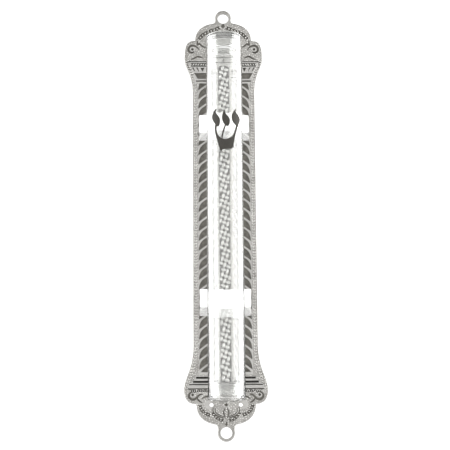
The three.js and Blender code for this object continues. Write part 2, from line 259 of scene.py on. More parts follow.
patina_with_bar_shade, nodes, links, shader = material_tree("dark_patina_with_bar_shade")
place = nodes.new("ShaderNodeTexCoord")
mottle = nodes.new("ShaderNodeTexNoise")
mottle.inputs["Scale"].default_value = 700
mottle.inputs["Detail"].default_value = 5
links.new(place.outputs["Object"], mottle.inputs["Vector"])
tint = nodes.new("ShaderNodeValToRGB")
tint.color_ramp.elements[0].color = (0.06, 0.056, 0.048, 1)
tint.color_ramp.elements[1].color = (0.115, 0.108, 0.094, 1)
tint.color_ramp.elements[0].position = 0.3
tint.color_ramp.elements[1].position = 0.7
links.new(mottle.outputs["Fac"], tint.inputs["Fac"])
level = nodes.new("ShaderNodeSeparateXYZ")
links.new(place.outputs["Object"], level.inputs[0])
PAINTED_SHADE_TOP = (-0.0708, -0.0716)       # painted shade over the grooved bars above the foot: where it begins, and where it is full
PAINTED_SHADE_BOTTOM = (-0.0757, -0.0747)
bar_shade = nodes.new("ShaderNodeMath")
bar_shade.operation = "MULTIPLY"
for k, (faint, full) in enumerate((PAINTED_SHADE_TOP, PAINTED_SHADE_BOTTOM)):
    bar_shade_fade = nodes.new("ShaderNodeMapRange")
    bar_shade_fade.interpolation_type = "SMOOTHSTEP"
    bar_shade_fade.inputs["From Min"].default_value = faint
    bar_shade_fade.inputs["From Max"].default_value = full
    links.new(level.outputs["Z"], bar_shade_fade.inputs["Value"])
    links.new(bar_shade_fade.outputs["Result"], bar_shade.inputs[k])
# painted shade: the patina turns near black over the grooved bars above the foot, where they lie in shade
patina_and_bar_shade = nodes.new("ShaderNodeMix")
patina_and_bar_shade.data_type = "RGBA"
patina_and_bar_shade.inputs["B"].default_value = (0.012, 0.01, 0.008, 1)
links.new(bar_shade.outputs[0], patina_and_bar_shade.inputs["Factor"])
links.new(tint.outputs["Color"], patina_and_bar_shade.inputs["A"])
links.new(patina_and_bar_shade.outputs["Result"], shader.inputs["Base Color"])
shader.inputs["Roughness"].default_value = 0.42
shader.inputs["Metallic"].default_value = 0.3

holes = [("hole", circle(0, level, RING_BORE, 32)) for level in (RING_CENTRE, -RING_CENTRE)]
for side in (-1, 1):
    holes.append(("hole", circle(side * NAIL_HOLE[0], NAIL_HOLE[1], NAIL_HOLE[2])))
slab_plan = cells([("plate", plate_outline())] + holes)
slab = relief("plate_slab", slab_plan, lambda names: "plate" in names and "hole" not in names,
              0, FLOOR_HEIGHT, 0.02, [patina_with_bar_shade, back_silver], 1)
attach(slab, "case")
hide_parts("back_plate")

# ------------------------------------------------------------------------------------------------
# The raised work, cast with the slab: a rim round the edge, twisted columns whose dark flutes run
# down both sides, bars and mouldings above and below them, and scrolls at the four corners. Every
# dark line is a groove that reaches the patina.

COLUMN = 6.3
COLUMN_OUTER = SHAFT - 2.6
COLUMN_TOP = SHAFT_TOP + 4.9
COLUMN_BOTTOM = SHAFT_BOTTOM - 11.4
FLUTE_PITCH = 4.46
FLUTE_RISE = 8.07
RIM = 0.35
QUIET = 0.32       # ground without grains beside a cut line


def smooth(points, steps=5):
    """A smooth line through every point."""
    line = []
    for i in range(len(points) - 1):
        before = points[max(i - 1, 0)]
        a, b = points[i], points[i + 1]
        after = points[min(i + 2, len(points) - 1)]
        first = tuple(a[k] + (b[k] - before[k]) / 6 for k in (0, 1))
        second = tuple(b[k] - (after[k] - a[k]) / 6 for k in (0, 1))
        line += bezier(a, first, second, b, steps)
    return line + [points[-1]]


def normals(line, closed=False):
    found = []
    for i in range(len(line)):
        last = len(line) - 1
        a = line[i - 1] if closed or i else line[0]
        b = line[(i + 1) % len(line)] if closed or i < last else line[last]
        dx, dz = b[0] - a[0], b[1] - a[1]
        length = math.hypot(dx, dz) or 1
        found.append((-dz / length, dx / length))
    return found


def around_middle(tile):
    """The corners of a tile in order round its middle, so that a tight bend can't cross it over."""
    x, z = (sum(p[k] for p in tile) / len(tile) for k in (0, 1))
    return sorted(tile, key=lambda p: math.atan2(p[1] - z, p[0] - x))


def strip(name, line, left, right, closed=False):
    """A strip along a line as a row of four-sided outlines, between two lists of offsets."""
    across = normals(line, closed)
    one = [(p[0] + n[0] * d, p[1] + n[1] * d) for p, n, d in zip(line, across, left)]
    two = [(p[0] + n[0] * d, p[1] + n[1] * d) for p, n, d in zip(line, across, right)]
    count = len(line) if closed else len(line) - 1
    tiles = [[one[i], one[(i + 1) % len(line)], two[(i + 1) % len(line)], two[i]] for i in range(count)]
    return [(name, around_middle(tile)) for tile in tiles]


def stroke(name, points, width, tip=0.12):
    """A line of ink on both sides of the plate: thin at its ends and width across its middle."""
    line = smooth(points)
    count = len(line) - 1
    half = [tip / 2 + (width - tip) / 2 * math.sin(math.pi * i / count) ** 0.6 for i in range(count + 1)]
    clear = [h + QUIET for h in half]
    right = strip(name, line, half, [-h for h in half])
    right += strip("quiet", line, clear, [-h for h in clear])
    return right + [(kind, mirrored(outline)) for kind, outline in right]


def both(name, outline):
    return [(name, outline), (name, mirrored(outline))]


def flute(tip):
    """One leaf of the right column, from its outer lower tip to its inner upper one."""
    def at(across, up):
        return (COLUMN_OUTER - COLUMN * across, tip + FLUTE_RISE * up)
    lower_left = bezier(at(0, 0), at(0, 0.3), at(0.12, 0.5), at(0.34, 0.62), 7)
    upper_right = bezier(at(1, 1), at(1, 0.7), at(0.88, 0.5), at(0.66, 0.38), 7)
    return lower_left + [at(0.34, 0.62)] + upper_right + [at(0.66, 0.38)]


def diamond(x, z, half_width, half_height, waist=0.0):
    """A drop with pointed ends, fullest at its middle or waist above it."""
    return [(x, z - half_height), (x + half_width * 0.7, z - half_height * 0.4 + waist),
            (x + half_width, z + waist), (x + half_width * 0.7, z + half_height * 0.4 + waist),
            (x, z + half_height), (x - half_width * 0.7, z + half_height * 0.4 + waist),
            (x - half_width, z + waist), (x - half_width * 0.7, z - half_height * 0.4 + waist)]


WEAVE = 3.05
WEAVE_BOTTOM = -73.0
WEAVE_TOP = 70.9
# middle line and half width of each bed: the upper dome's rope, the lower dome's two, and the teeth
ROPES = [([(1.4, 91.7), (4.1, 90.4), (6.7, 89.5), (8.9, 88.3), (10.2, 87.1), (11.3, 85.4)], 0.85),
         ([(11.5, -84.0), (11.2, -85.4), (10.1, -86.9), (8.6, -87.9), (6.9, -88.6)], 0.7),
         ([(6.2, -87.2), (4.6, -89.3), (2.8, -90.5), (1.1, -91.0)], 0.6),
         ([(7.5, -77.95), (15.6, -77.95)], 0.42),
         ([(8.0, 73.35), (15.0, 73.35)], 0.62)]

outline = plate_outline()
edge = strip("rim", outline, [0] * len(outline), [RIM] * len(outline), True)
work = [("plate", outline)] + edge + holes

# the hanging rings are plain
work += [("quiet", circle(0, level, RING_RADIUS + 0.3)) for level in (RING_CENTRE, -RING_CENTRE)]

# columns
work += both("zone", [(COLUMN_OUTER - COLUMN - 1, COLUMN_BOTTOM), (COLUMN_OUTER + 1, COLUMN_BOTTOM),
                      (COLUMN_OUTER + 1, COLUMN_TOP), (COLUMN_OUTER - COLUMN - 1, COLUMN_TOP)])
tip = COLUMN_TOP - 3.3
while tip + FLUTE_RISE > COLUMN_BOTTOM:
    work += both("flute", flute(tip))
    tip -= FLUTE_PITCH
work += both("panel", [(0, COLUMN_BOTTOM - 1.2), (COLUMN_OUTER + 0.25, COLUMN_BOTTOM - 1.2),
                       (COLUMN_OUTER + 0.25, COLUMN_TOP + 0.4), (0, COLUMN_TOP + 0.4)])


# bars and mouldings: [bottom, top, outer end at the bottom, outer end at the top]
def bar(bottom, top, lower_end, upper_end, inner=4.6):
    return [(inner, bottom), (lower_end, bottom), (upper_end, top), (inner, top)]


work += both("groove", bar(66.3, 69.1, 11.9, 13.5))
work += both("groove", bar(64.9, 65.5, 12.7, 12.7))
work += both("groove", bar(74.55, 74.85, 16.6, 16.6, 0))
work += both("groove", bar(72.25, 72.5, 15.0, 15.0, 0))
work += both("groove", bar(-72.6, -71.7, 13.1, 13.1))
work += both("groove", bar(-74.4, -73.5, 14.4, 14.4))
work += both("groove", bar(-75.4, -74.95, 16.4, 16.7))
work += both("groove", bar(-77.35, -76.8, 16.4, 16.7, 0))

# darts between the upper moulding and the thick bar
work += both("groove", [(14.5, 71.8), (13.9, 71.9), (12.95, 69.9), (13.3, 69.9)])
work += both("groove", [(12.6, 71.8), (12.0, 71.9), (11.2, 69.9), (11.5, 69.9)])
work += both("groove", [(10.6, 71.7), (8.8, 71.7), (9.6, 69.9), (9.8, 69.9)])
work += both("groove", [(7.9, 71.7), (6.1, 71.7), (6.9, 69.9), (7.1, 69.9)])

# scrolls of the upper corners
work += both("groove", circle(14.3, 80.75, 0.62, 12))
work += stroke("groove", [(11.1, 80.3), (11.9, 81.6), (13.1, 82.45), (14.5, 82.65), (15.7, 81.95),
                          (16.1, 80.75), (15.7, 79.8), (14.9, 79.2), (14.0, 79.35), (13.45, 79.9)], 1.0)
work += stroke("groove", [(11.9, 85.2), (12.0, 84.2), (12.0, 83.0), (11.05, 83.55), (10.1, 82.7),
                          (9.0, 82.0), (8.0, 81.9)], 0.8)
work += stroke("groove", [(15.2, 75.95), (13.7, 76.3), (12.2, 77.2), (10.9, 77.1), (9.5, 76.6)], 0.8)
work += stroke("groove", [(17.15, 75.4), (16.7, 73.5), (15.6, 70.8), (14.75, 68.6), (14.3, 66.8)], 0.3)

# scrolls of the lower corners
work += both("groove", circle(14.65, -79.65, 0.62, 12))
work += stroke("groove", [(13.3, -78.9), (14.4, -78.25), (15.6, -78.7), (16.25, -79.8), (15.9, -80.95),
                          (14.8, -81.65), (13.6, -81.45), (12.7, -80.7), (11.9, -79.8), (10.8, -79.35),
                          (10.0, -79.6)], 1.0)
work += stroke("groove", [(12.7, -80.9), (12.3, -81.7), (11.5, -82.5), (10.4, -83.1)], 0.7)
work += stroke("groove", [(10.6, -81.4), (9.6, -80.7), (8.7, -80.4), (7.7, -80.3), (7.4, -79.1)], 0.7)

# down the middle: drops, a small pair of wings, and the arch over the braid
work += both("groove", diamond(0, 92.4, 0.95, 1.2))
work += both("quiet", diamond(0, 92.4, 1.4, 1.7))
work += both("groove", diamond(0, 83.5, 0.75, 1.2))
work += both("groove", diamond(0, 73.6, 0.4, 1.0))
work += stroke("groove", [(0.1, 77.1), (0.8, 77.5), (1.6, 77.8), (2.4, 77.6), (3.1, 77.2)], 0.6)
work += both("groove", diamond(0, -84.0, 0.8, 0.75))
work += both("groove", diamond(0, -92.3, 0.7, 0.95))

# the lower dome's tulip
work += stroke("groove", [(5.6, -84.9), (5.75, -86.9), (4.5, -88.5), (2.6, -89.3), (0.9, -89.9)], 0.55)
work += stroke("groove", [(4.75, -85.2), (4.75, -86.9), (3.8, -88.0), (2.3, -88.75), (0.8, -89.2)], 0.35)

# what stands above the grained ground: the mouldings, the four scrolls, and the nail holes' bosses
work += both("panel", [(0, 64.2), (13.3, 64.2), (13.9, 69.3), (15.4, 72.2), (17.0, 75.0), (0, 75.0)])
work += both("panel", [(0, -71.4), (13.3, -71.4), (14.7, -73.8), (16.8, -74.9), (16.8, -77.4), (0, -77.4)])
work += both("panel", circle(14.3, 80.75, 1.3))
work += both("panel", circle(14.6, -79.7, 1.2))
work += both("panel", circle(7.5, NAIL_HOLE[1], 2.1))

# the lower dome's lens, with its line of beads
work += stroke("groove", [(0.35, -85.3), (1.15, -87.3), (0.35, -89.9)], 0.5)

# sunk beds for the weave behind the tube, the ropes of both domes, and the rows of teeth
weave_bed = [(WEAVE, WEAVE_BOTTOM), (WEAVE, WEAVE_TOP - 2)]
weave_bed += bezier((WEAVE, WEAVE_TOP - 2), (WEAVE, WEAVE_TOP - 0.6),
                    (WEAVE * 0.6, WEAVE_TOP), (0, WEAVE_TOP))[1:]
work.append(("groove", weave_bed + [(0, WEAVE_TOP)] + mirrored(weave_bed)))
for line, half in ROPES:
    path = smooth(line)
    bed = strip("groove", path, [half] * len(path), [-half] * len(path))
    work += bed + [(kind, mirrored(tile)) for kind, tile in bed]

face_plan = cells(work)


def is_field(names):
    return "plate" in names and not names & {"hole", "groove"} and not (
        "flute" in names and "zone" in names)


def is_raised(names):
    return is_field(names) and bool(names & {"rim", "panel"})


def is_grained(names):
    return is_field(names) and not is_raised(names) and "quiet" not in names


field = relief("plate_field", face_plan, is_field, FLOOR_HEIGHT, FIELD_HEIGHT, 0.05,
               [frosted_silver, frosted_silver], 1)
raised = relief("plate_raised_work", face_plan, is_raised, FIELD_HEIGHT, PLATE_THICKNESS, 0.13,
                [bright_silver, bright_silver])
for piece in (field, raised):
    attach(piece, "case")

# ------------------------------------------------------------------------------------------------
# The fine ornament of the casting: a basket weave behind the tube, twisted ropes and rows of teeth
# in their sunk beds, a vine of small leaves up both borders, and grains over the lower grounds. It
# was cast from a hand-worked pattern, so nothing is quite even.


def new_tree(name, sizes):
    """A tree with a geometry input and a number input for each of sizes, and its node maker. A
    node's inputs may be given as values or as other nodes' outputs."""
    tree = bpy.data.node_groups.new(name, "GeometryNodeTree")
    tree.interface.new_socket("Geometry", in_out="INPUT", socket_type="NodeSocketGeometry")
    for size in sizes:
        tree.interface.new_socket(size, in_out="INPUT", socket_type="NodeSocketFloat")
    tree.interface.new_socket("Geometry", in_out="OUTPUT", socket_type="NodeSocketGeometry")
    given = tree.nodes.new("NodeGroupInput").outputs

    def add(kind, inputs=None, **settings):
        node = tree.nodes.new(kind)
        for key, value in settings.items():
            setattr(node, key, value)
        for key, value in (inputs or {}).items():
            if isinstance(value, bpy.types.NodeSocket):
                tree.links.new(value, node.inputs[key])
            else:
                node.inputs[key].default_value = value
        return node.outputs[0]

    def calculate(operation, a, b=0.0, c=0.0):
        return add("ShaderNodeMath", {0: a, 1: b, 2: c}, operation=operation)

    return tree, given, add, calculate


def end_tree(tree, add, points, choice, shape, rotation, scale, metal=frosted_silver):
    """Put a shape on every chosen point, make it real and give it the casting's metal."""
    placed = add("GeometryNodeInstanceOnPoints", {"Points": points, "Selection": choice, "Instance": shape,
                                                  "Rotation": rotation, "Scale": scale})
    real = add("GeometryNodeRealizeInstances", {"Geometry": placed})
    plated = add("GeometryNodeSetMaterial", {"Geometry": real, "Material": metal})
    tree.links.new(plated, tree.nodes.new("NodeGroupOutput").inputs[0])
    return tree


def row_tree():
    """Pillows in a row along every line, leaning the same way on both sides of the plate."""
    tree, given, add, calculate = new_tree("pillow_row", ("Spacing", "Length", "Width", "Height", "Lean"))
    line = add("GeometryNodeMeshToCurve", {"Mesh": given["Geometry"]})
    points = add("GeometryNodeResampleCurve", {"Curve": line, "Length": given["Spacing"]}, mode="LENGTH")
    place = add("GeometryNodeInputPosition")
    side = tree.nodes.new("ShaderNodeSeparateXYZ")
    tree.links.new(place, side.inputs[0])
    sign = calculate("SIGN", side.outputs["X"])
    along = add("FunctionNodeAlignRotationToVector", {"Vector": add("GeometryNodeInputTangent")},
                axis="X", pivot_axis="Y")
    lean = add("FunctionNodeAxisAngleToRotation",
               {"Axis": (0, 1, 0), "Angle": calculate("MULTIPLY", sign, given["Lean"])})
    rotation = add("FunctionNodeRotateRotation", {"Rotation": along, "Rotate By": lean})
    varied = tree.nodes.new("FunctionNodeRandomValue")
    varied.data_type = "FLOAT"
    varied.inputs[2].default_value = 0.92
    varied.inputs[3].default_value = 1.06
    varied.inputs["Seed"].default_value = 3
    size = add("ShaderNodeCombineXYZ", {0: given["Length"], 1: given["Height"], 2: given["Width"]})
    scale = add("ShaderNodeVectorMath", {0: size, "Scale": varied.outputs[1]}, operation="SCALE")
    pillow = add("GeometryNodeMeshUVSphere", {"Segments": 8, "Rings": 6, "Radius": 0.5})
    soft = add("GeometryNodeSetShadeSmooth", {"Geometry": pillow})
    return end_tree(tree, add, points, True, soft, rotation, scale)


def weave_tree():
    """A basket weave: pillows on a turned grid, every second one crosswise, kept inside the bed."""
    tree, given, add, calculate = new_tree("basket_weave", (
        "Pitch", "Length", "Width", "Height", "Turn", "Half Width", "Bottom", "Top"))
    tall = calculate("SUBTRACT", given["Top"], given["Bottom"])
    fitting = calculate("DIVIDE", tall, given["Pitch"])
    spare = calculate("MULTIPLY_ADD", fitting, 1.1, 2.0)
    rows = add("FunctionNodeFloatToInt", {0: spare}, rounding_mode="ROUND")
    columns = 31
    long = calculate("MULTIPLY", calculate("SUBTRACT", rows, 1.0), given["Pitch"])
    wide = calculate("MULTIPLY", given["Pitch"], float(columns - 1))
    flat = add("GeometryNodeMeshGrid",
               {"Size X": wide, "Size Y": long, "Vertices X": columns, "Vertices Y": rows})
    upright = add("GeometryNodeTransform", {"Geometry": flat, "Rotation": (math.pi / 2, 0, 0)})
    middle = calculate("MULTIPLY", calculate("ADD", given["Top"], given["Bottom"]), 0.5)
    turned_grid = add("GeometryNodeTransform", {
        "Geometry": upright, "Rotation": add("ShaderNodeCombineXYZ", {1: given["Turn"]}),
        "Translation": add("ShaderNodeCombineXYZ", {1: -(FLOOR_HEIGHT + 0.05) * MM, 2: middle})})
    index = add("GeometryNodeInputIndex")
    row = calculate("FLOORED_MODULO", index, rows)
    column = calculate("FLOOR", calculate("DIVIDE", calculate("ADD", index, 0.5), rows))
    odd = calculate("FLOORED_MODULO", calculate("ADD", row, column), 2.0)
    angle = calculate("MULTIPLY_ADD", calculate("ROUND", odd), math.pi / 2, given["Turn"])
    rotation = add("ShaderNodeCombineXYZ", {1: angle})
    at = tree.nodes.new("ShaderNodeSeparateXYZ")
    tree.links.new(add("GeometryNodeInputPosition"), at.inputs[0])
    near = calculate("LESS_THAN", calculate("ABSOLUTE", at.outputs["X"]), given["Half Width"])
    over = calculate("GREATER_THAN", at.outputs["Z"], given["Bottom"])
    under = calculate("LESS_THAN", at.outputs["Z"], given["Top"])
    inside = calculate("MULTIPLY", near, calculate("MULTIPLY", over, under))
    scale = add("ShaderNodeCombineXYZ", {0: given["Length"], 1: given["Height"], 2: given["Width"]})
    pillow = add("GeometryNodeMeshUVSphere", {"Segments": 10, "Rings": 6, "Radius": 0.5})
    soft = add("GeometryNodeSetShadeSmooth", {"Geometry": pillow})
    return end_tree(tree, add, turned_grid, inside, soft, rotation, scale, polished_silver)


def grain_tree():
    """Grains strewn over a surface, no two closer than the spacing."""
    tree, given, add, calculate = new_tree("grains", ("Spacing", "Size", "Height"))
    strewn = add("GeometryNodeDistributePointsOnFaces", {
        "Mesh": given["Geometry"], "Distance Min": given["Spacing"], "Density Max": 2e7, "Seed": 11},
        distribute_method="POISSON")
    varied = tree.nodes.new("FunctionNodeRandomValue")
    varied.data_type = "FLOAT"
    varied.inputs[2].default_value = 0.65
    varied.inputs[3].default_value = 1.15
    varied.inputs["Seed"].default_value = 5
    spun = tree.nodes.new("FunctionNodeRandomValue")
    spun.data_type = "FLOAT"
    spun.inputs[3].default_value = math.pi
    spun.inputs["Seed"].default_value = 8
    narrow = calculate("MULTIPLY", given["Size"], 0.75)
    size = add("ShaderNodeCombineXYZ", {0: given["Size"], 1: given["Height"], 2: narrow})
    scale = add("ShaderNodeVectorMath", {0: size, "Scale": varied.outputs[1]}, operation="SCALE")
    rotation = add("ShaderNodeCombineXYZ", {1: spun.outputs[1]})
    grain = add("GeometryNodeMeshIcoSphere", {"Radius": 0.5, "Subdivisions": 1})
    soft = add("GeometryNodeSetShadeSmooth", {"Geometry": grain})
    return end_tree(tree, add, strewn, True, soft, rotation, scale)


def grown(name, base, tree, sizes):
    """What a tree makes of a base mesh, kept as a plain mesh of the casting."""
    piece = bpy.data.objects.new(name, base)
    bpy.context.scene.collection.objects.link(piece)
    modifier = piece.modifiers.new(name, "NODES")
    modifier.node_group = tree
    for item in tree.interface.items_tree:
        if item.in_out == "INPUT" and item.name in sizes:
            modifier[item.identifier] = float(sizes[item.name])
    bpy.context.view_layer.update()
    evaluated = piece.evaluated_get(bpy.context.evaluated_depsgraph_get())
    made = bpy.data.meshes.new_from_object(evaluated)
    piece.modifiers.remove(modifier)
    piece.data = made
    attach(piece, "case")
    return piece


def path_mesh(name, lines, height):
    """Lines as a mesh of edges at a height over the back face."""
    data = bpy.data.meshes.new(name)
    corners, edges = [], []
    for line in lines:
        edges += [(len(corners) + i, len(corners) + i + 1) for i in range(len(line) - 1)]
        corners += [(x * MM, -height * MM, z * MM) for x, z in line]
    data.from_pydata(corners, edges, [])
    return data


def ground_mesh(name, plan, keep, height):
    """The triangles whose names keep accepts, as an open sheet that faces the front."""
    data = bpy.data.meshes.new(name)
    data.from_pydata([(x * MM, -height * MM, z * MM) for x, z in plan[0]], [],
                     [face for face, names in plan[1] if keep(names)])
    return data


pillows = row_tree()


def pillow_row(name, lines, height, spacing, length, width, rise, lean):
    sizes = {"Spacing": spacing * MM, "Length": length * MM, "Width": width * MM, "Height": rise * MM,
             "Lean": math.radians(lean)}
    return grown(name, path_mesh(name, lines, height), pillows, sizes)


def both_lines(*lines):
    return list(lines) + [mirrored(line) for line in lines]


BED = FLOOR_HEIGHT + 0.1
pillow_row("upper_dome_rope", both_lines(smooth(ROPES[0][0])), BED, 1.35, 1.25, 0.62, 1.3, 62)
pillow_row("lower_dome_rope", both_lines(smooth(ROPES[1][0]), smooth(ROPES[2][0])), BED,
           1.15, 1.0, 0.52, 1.2, 68)
pillow_row("dome_beads", [[(0, -85.7), (0, -89.6)]], FIELD_HEIGHT, 0.78, 0.6, 0.6, 0.6, 0)
pillow_row("lower_teeth", both_lines(ROPES[3][0]), BED, 0.85, 0.45, 0.8, 1.2, 0)
pillow_row("upper_waves", both_lines(ROPES[4][0]), BED, 1.15, 1.5, 0.66, 1.25, 50)

grown("basket_weave", bpy.data.meshes.new("weave_base"), weave_tree(),
      {"Pitch": 2.25 * MM, "Length": 3.0 * MM, "Width": 1.9 * MM, "Height": 1.25 * MM,
       "Turn": math.radians(20), "Half Width": (WEAVE - 0.3) * MM,
       "Bottom": (WEAVE_BOTTOM + 0.8) * MM, "Top": (WEAVE_TOP - 0.8) * MM})

edge_line = [(p, n) for p, n in zip(plate_side(), normals(plate_side()))
             if FOOT_LEVEL < p[1] < SHOULDER_LEVEL]
for inset, lean in ((0.8, 40), (1.65, -40)):
    stem = [(p[0] + n[0] * inset, p[1] + n[1] * inset) for p, n in edge_line]
    pillow_row("border_vine", both_lines(stem), FIELD_HEIGHT + 0.02, 1.3, 1.15, 0.5, 0.62, lean)

grown("border_grains", ground_mesh("ground", face_plan, is_grained, FIELD_HEIGHT), grain_tree(),
      {"Spacing": 0.84 * MM, "Size": 0.82 * MM, "Height": 0.66 * MM})

# ------------------------------------------------------------------------------------------------
# The foam tape. Two pads of white double-sided foam hold the feet to the plate. Closed-cell foam,
# cut with a blade: its sides show the open cells, its edges sit a little irregular.

foam, nodes, links, shader = material_tree("white_foam")
place = nodes.new("ShaderNodeTexCoord")
pores = nodes.new("ShaderNodeTexVoronoi")
pores.inputs["Scale"].default_value = 4200
links.new(place.outputs["Object"], pores.inputs["Vector"])
shade = nodes.new("ShaderNodeValToRGB")
shade.color_ramp.elements[0].color = (0.84, 0.84, 0.83, 1)
shade.color_ramp.elements[1].color = (0.97, 0.97, 0.965, 1)
shade.color_ramp.elements[1].position = 0.35
links.new(pores.outputs["Distance"], shade.inputs["Fac"])
links.new(shade.outputs["Color"], shader.inputs["Base Color"])
dents = nodes.new("ShaderNodeBump")
dents.inputs["Strength"].default_value = 0.5
dents.inputs["Distance"].default_value = 0.0001
links.new(pores.outputs["Distance"], dents.inputs["Height"])
links.new(dents.outputs["Normal"], shader.inputs["Normal"])
shader.inputs["Roughness"].default_value = 0.85


def softened_copy(node, name, width, material, segments=2):
    """A CAD node's shape as a new piece, merged, with its sharp edges rounded."""
    mesh = bmesh.new()
    mesh.from_mesh(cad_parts[node].data)
    bmesh.ops.remove_doubles(mesh, verts=mesh.verts, dist=1e-7)
    bmesh.ops.dissolve_limit(mesh, angle_limit=math.radians(1), verts=mesh.verts, edges=mesh.edges)
    sharp = [e for e in mesh.edges if e.calc_face_angle(0) > math.radians(40)]
    bmesh.ops.bevel(mesh, geom=sharp, offset=width * MM, segments=segments, profile=0.5,
                    affect="EDGES", clamp_overlap=True)
    for face in mesh.faces:
        face.smooth = True
    data = bpy.data.meshes.new(name)
    mesh.to_mesh(data)
    mesh.free()
    data.set_sharp_from_angle(angle=math.radians(35))
    data.materials.append(material)
    piece = bpy.data.objects.new(name, data)
    bpy.context.scene.collection.objects.link(piece)
    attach(piece, "case")
    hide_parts(node)
    return piece


for node in ("upper_tape_pad", "lower_tape_pad"):
    pad = softened_copy(node, node + "_foam", 0.12, foam)

# ------------------------------------------------------------------------------------------------
# The clear pieces. The tube is an extruded length of acrylic with polished ends. Its cap is turned
# from the same acrylic and glued in, and two moulded feet, a little milky, carry it on their saddles.


def clear_plastic(name, roughness, tint, haze, shine=0.5, clearness=1.0):
    """Clear acrylic: polished, with faint drawing lines and a little haze in the surface."""
    material, nodes, links, shader = material_tree(name)
    place = nodes.new("ShaderNodeTexCoord")
    drawn = nodes.new("ShaderNodeMapping")
    drawn.inputs["Scale"].default_value = (1, 1, 0.02)
    links.new(place.outputs["Object"], drawn.inputs["Vector"])
    lines = nodes.new("ShaderNodeTexNoise")
    lines.inputs["Scale"].default_value = 900
    lines.inputs["Detail"].default_value = 2
    links.new(drawn.outputs["Vector"], lines.inputs["Vector"])
    polish = nodes.new("ShaderNodeMapRange")
    polish.inputs["To Min"].default_value = roughness
    polish.inputs["To Max"].default_value = roughness + haze
    links.new(lines.outputs["Fac"], polish.inputs["Value"])
    links.new(polish.outputs["Result"], shader.inputs["Roughness"])
    shader.inputs["Base Color"].default_value = (*tint, 1)
    shader.inputs["Transmission Weight"].default_value = clearness
    shader.inputs["IOR"].default_value = 1.49
    shader.inputs["Specular IOR Level"].default_value = shine
    return material


acrylic = clear_plastic("clear_acrylic", 0.01, (0.985, 0.99, 0.985), 0.03)
TUBE_SIDES = 120
tube_low, tube_high = (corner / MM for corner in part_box("tube"))
TUBE_RADIUS = (tube_high.x - tube_low.x) / 2
TUBE_AXIS = (tube_low.y + tube_high.y) / 2
BORE_RADIUS = TUBE_RADIUS - 1.65


def turned(name, profile, material, body, node):
    """A clear body of revolution about the tube's axis. The profile is a list of (radius, height,
    rounding) corners, and it closes on itself or starts and ends on the axis."""
    closed = profile[0][0] > 0
    line = []
    for i, (radius, level, rounding) in enumerate(profile):
        if not rounding:
            line.append((radius, level))
            continue
        here = Vector((radius, level))
        before = (Vector(profile[i - 1][:2]) - here).normalized() * rounding
        after = (Vector(profile[(i + 1) % len(profile)][:2]) - here).normalized() * rounding
        for step in range(5):
            t = step / 4
            line.append(tuple(here + before * (1 - t) ** 2 + after * t ** 2))
    mesh = bmesh.new()
    rings = []
    for radius, level in line:
        if radius < 1e-6:
            rings.append([mesh.verts.new((0, TUBE_AXIS * MM, level * MM))] * TUBE_SIDES)
            continue
        ring = []
        for k in range(TUBE_SIDES):
            angle = 2 * math.pi * k / TUBE_SIDES
            across, forward = radius * math.sin(angle), TUBE_AXIS - radius * math.cos(angle)
            ring.append(mesh.verts.new((across * MM, forward * MM, level * MM)))
        rings.append(ring)
    pairs = list(zip(rings, rings[1:])) + ([(rings[-1], rings[0])] if closed else [])
    for one, two in pairs:
        for k in range(TUBE_SIDES):
            corners = [one[k], one[(k + 1) % TUBE_SIDES], two[(k + 1) % TUBE_SIDES], two[k]]
            mesh.faces.new(list(dict.fromkeys(corners))).smooth = True
    bmesh.ops.recalc_face_normals(mesh, faces=mesh.faces)
    data = bpy.data.meshes.new(name)
    mesh.to_mesh(data)
    mesh.free()
    data.set_sharp_from_angle(angle=math.radians(40))
    data.materials.append(material)
    piece = bpy.data.objects.new(name, data)
    bpy.context.scene.collection.objects.link(piece)
    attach(piece, body)
    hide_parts(node)
    piece.visible_shadow = False     # clear: the studio's light reaches what lies behind it
    piece.visible_diffuse = False
    return piece


turned("clear_tube", [(BORE_RADIUS, tube_low.z, 0.15), (TUBE_RADIUS, tube_low.z, 0.3),
                      (TUBE_RADIUS, tube_high.z, 0.3), (BORE_RADIUS, tube_high.z, 0.15)],
       acrylic, "case", "tube")

cap_low, cap_high = (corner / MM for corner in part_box("top_cap"))
CAP_RADIUS = cap_high.x
PLUG_RADIUS = BORE_RADIUS - 0.15
CAP_UNDERSIDE = cap_high.z - 3.2
SKIRT_BORE = PLUG_RADIUS - 0.9
turned("tube_cap", [(0, CAP_UNDERSIDE, 0), (SKIRT_BORE, CAP_UNDERSIDE, 0.3),
                    (SKIRT_BORE, cap_low.z, 0.2), (PLUG_RADIUS, cap_low.z, 0.3),
                    (PLUG_RADIUS, tube_high.z, 0.1), (CAP_RADIUS, tube_high.z, 0.15),
                    (CAP_RADIUS, cap_high.z, 0.4), (0, cap_high.z, 0)],
       acrylic, "case", "top_cap")

frosted = clear_plastic("moulded_clear_plastic", 0.1, (1.0, 1.0, 0.995), 0.1, clearness=0.84)
for node in ("upper_foot", "lower_foot"):
    foot = softened_copy(node, node + "_moulding", 0.2, frosted, 3)
    foot.visible_shadow = False
    foot.visible_diffuse = False

# ------------------------------------------------------------------------------------------------
# The stopper. It pulls out downwards to load the parchment. Moulded in a softer, milky plastic as a
# cup that is open at the bottom, with a thin flange, two bands that grip the bore and a narrower end.

